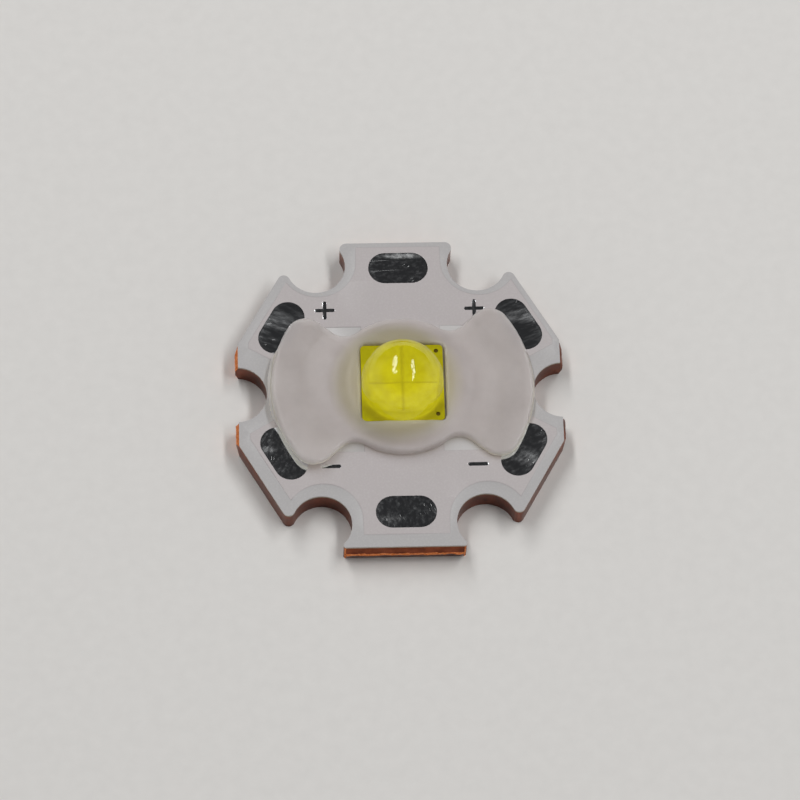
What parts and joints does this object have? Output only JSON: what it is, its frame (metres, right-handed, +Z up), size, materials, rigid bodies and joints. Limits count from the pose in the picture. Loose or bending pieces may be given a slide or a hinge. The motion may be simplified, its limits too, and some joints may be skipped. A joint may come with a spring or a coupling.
{
  "type": "high-power led",
  "caption": "Domed high-power LED emitter with yellow phosphor on a hexagonal copper-core star board with tinned solder pads and screw notches, held in a milky winged gasket.",
  "frame": {"origin": "centre of the board's underside, on the heat-sink face", "axes": "+Z up out of the emitter's dome, +Y from the board's centre towards the positive end pad, +X to the right seen from above"},
  "size_m": [0.0198, 0.0204, 0.0053],
  "materials": {
    "copper": "bare copper, dull on the routed walls, bright where snapped",
    "insulation": "filled resin",
    "white_mask": "semi-gloss white solder mask",
    "bright_tin": "bright levelled tin with fine scratches",
    "solder": "reflowed solder",
    "gold_plate": "thin gold plating",
    "ceramic": "white ceramic",
    "die": "polished semiconductor",
    "phosphor": "yellow phosphor in silicone",
    "clear_silicone": "clear smooth silicone",
    "milky_silicone": "milky translucent silicone"
  },
  "bodies": {
    "root": {"copper_base": "copper", "positive_circuit": "copper", "negative_circuit": "copper", "insulating_layer": "insulation", "solder_mask": "white_mask", "positive_end_pad": "bright_tin", "positive_right_pad": "bright_tin", "positive_left_pad": "bright_tin", "negative_end_pad": "bright_tin", "negative_right_pad": "bright_tin", "negative_left_pad": "bright_tin", "plus_mark_right": "bright_tin", "plus_mark_left": "bright_tin", "minus_mark_right": "bright_tin", "minus_mark_left": "bright_tin", "anode_solder": "solder", "thermal_solder": "solder", "cathode_solder": "solder", "anode_contact": "gold_plate", "thermal_contact": "gold_plate", "cathode_contact": "gold_plate", "anode_via": "gold_plate", "cathode_via": "gold_plate", "anode_trace": "gold_plate", "bridge_trace": "gold_plate", "cathode_trace": "gold_plate", "ceramic_substrate": "ceramic", "led_die_1": "die", "led_die_2": "die", "led_die_3": "die", "led_die_4": "die", "phosphor_layer": "phosphor", "lens_dome": "clear_silicone", "gasket": "milky_silicone"}
  },
  "joints": []
}
